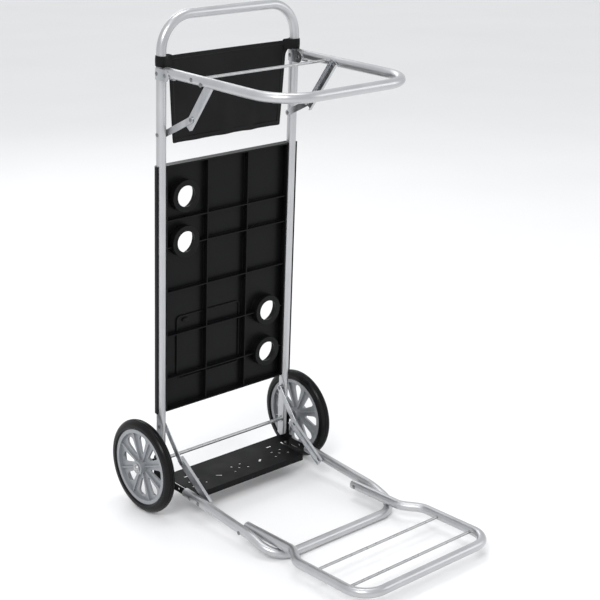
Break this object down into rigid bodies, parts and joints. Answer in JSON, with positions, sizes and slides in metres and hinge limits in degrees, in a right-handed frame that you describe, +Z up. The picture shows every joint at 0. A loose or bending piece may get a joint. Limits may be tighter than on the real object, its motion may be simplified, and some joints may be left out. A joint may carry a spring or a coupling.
{
  "type": "folding luggage cart",
  "caption": "Tubular folding luggage cart with a drop-down arm frame, folding toe platform with flip-over extension, clip-on table panel and spoked wheels.",
  "frame": {"origin": "bottom centre of the bounding box, on the floor under the middle of the cart", "axes": "+Z up along the height, +X to the cart's right across its width, +Y to the back; the platform reaches forward along -Y"},
  "size_m": [0.489, 0.7479, 1.0658],
  "materials": {
    "tube_aluminium": "satin",
    "zinc_steel": "satin zinc plate",
    "bright_steel": "polished",
    "black_steel": "fine powder coat",
    "black_plastic": "moulded satin",
    "grey_plastic": "moulded satin",
    "tyre_rubber": "matte",
    "black_fabric": "woven"
  },
  "bodies": {
    "main_frame": {"handle_frame": "tube_aluminium", "upright_plugs": "black_plastic", "arm_bracket_left": "zinc_steel", "arm_bracket_right": "zinc_steel", "bracket_rivets": "bright_steel", "arm_pivot_pins": "bright_steel", "upper_stay_pins": "bright_steel", "lower_stay_pins": "bright_steel", "axle": "bright_steel", "axle_clips": "bright_steel", "axle_spacers": "black_plastic", "push_nuts": "bright_steel", "fabric_panel": "black_fabric"},
    "wheel_left": {"wheel_left": "grey_plastic", "tyre_left": "tyre_rubber", "hub_bush_left": "black_plastic"},
    "wheel_right": {"wheel_right": "grey_plastic", "tyre_right": "tyre_rubber", "hub_bush_right": "black_plastic"},
    "platform": {"platform_rails": "tube_aluminium", "platform_bends": "tube_aluminium", "platform_frame": "tube_aluminium", "base_plate": "black_steel", "hinge_ear_left": "black_steel", "hinge_ear_right": "black_steel", "ear_rivets": "bright_steel", "rail_rivets": "bright_steel", "lower_channel_pins": "bright_steel", "extension_pins": "bright_steel"},
    "extension": {"extension_rails": "tube_aluminium", "extension_flares": "tube_aluminium", "extension_frame": "tube_aluminium", "rear_wire": "bright_steel", "front_wire": "bright_steel"},
    "arms": {"arm_frame": "tube_aluminium", "arm_cross_rod": "bright_steel", "cross_rod_rivets": "bright_steel", "upper_channel_pins": "bright_steel"},
    "upper_bars": {"upper_bar_left": "zinc_steel", "upper_bar_right": "zinc_steel", "upper_bar_rivets": "bright_steel"},
    "upper_channels": {"upper_channel_left": "zinc_steel", "upper_channel_right": "zinc_steel", "upper_channel_rivets": "bright_steel"},
    "lower_bars": {"lower_bar_left": "zinc_steel", "lower_bar_right": "zinc_steel", "lower_bar_rivets": "bright_steel"},
    "lower_channels": {"lower_channel_left": "zinc_steel", "lower_channel_right": "zinc_steel", "lower_channel_rivets": "bright_steel"},
    "table": {"table_panel": "black_plastic"}
  },
  "joints": [
    {"name": "wheel_left_spin", "type": "hinge", "parent": "main_frame", "child": "wheel_left", "pos_m": [0, 0.27097, 0.103], "axis": [1, 0, 0], "continuous": true},
    {"name": "wheel_right_spin", "type": "hinge", "parent": "main_frame", "child": "wheel_right", "pos_m": [0, 0.27097, 0.103], "axis": [1, 0, 0], "continuous": true},
    {"name": "platform_fold", "type": "hinge", "parent": "main_frame", "child": "platform", "pos_m": [0, 0.27097, 0.103], "axis": [-1, 0, 0], "range_deg": [0, 85]},
    {"name": "extension_fold", "type": "hinge", "parent": "platform", "child": "extension", "pos_m": [0, -0.00097, 0.03363], "axis": [1, 0, 0], "range_deg": [-132, 0]},
    {"name": "arm_fold", "type": "hinge", "parent": "main_frame", "child": "arms", "pos_m": [0, 0.20382, 0.94372], "axis": [1, 0, 0], "range_deg": [0, 88]},
    {"name": "upper_bar_turn", "type": "hinge", "parent": "main_frame", "child": "upper_bars", "pos_m": [0, 0.23684, 0.82119], "axis": [1, 0, 0], "range_deg": [0, 98]},
    {"name": "upper_channel_turn", "type": "hinge", "parent": "arms", "child": "upper_channels", "pos_m": [0, 0.09387, 0.94027], "axis": [1, 0, 0], "range_deg": [-124.5, 0]},
    {"name": "lower_bar_turn", "type": "hinge", "parent": "main_frame", "child": "lower_bars", "pos_m": [0, 0.26816, 0.18096], "axis": [-1, 0, 0], "range_deg": [0, 23]},
    {"name": "lower_channel_turn", "type": "hinge", "parent": "platform", "child": "lower_channels", "pos_m": [0, 0.13238, 0.05017], "axis": [-1, 0, 0], "range_deg": [0, 50]},
    {"name": "table_release", "type": "slide", "parent": "main_frame", "child": "table", "axis": [0, 0.9988, 0.0489], "range_m": [0, 0.12]}
  ],
  "couplings": [
    {"joint": "upper_bar_turn", "follows": "arm_fold", "ratio": 1.0886},
    {"joint": "upper_channel_turn", "follows": "arm_fold", "ratio": -1.4089},
    {"joint": "lower_bar_turn", "follows": "platform_fold", "ratio": 0.2606},
    {"joint": "lower_channel_turn", "follows": "platform_fold", "ratio": 0.5802}
  ]
}
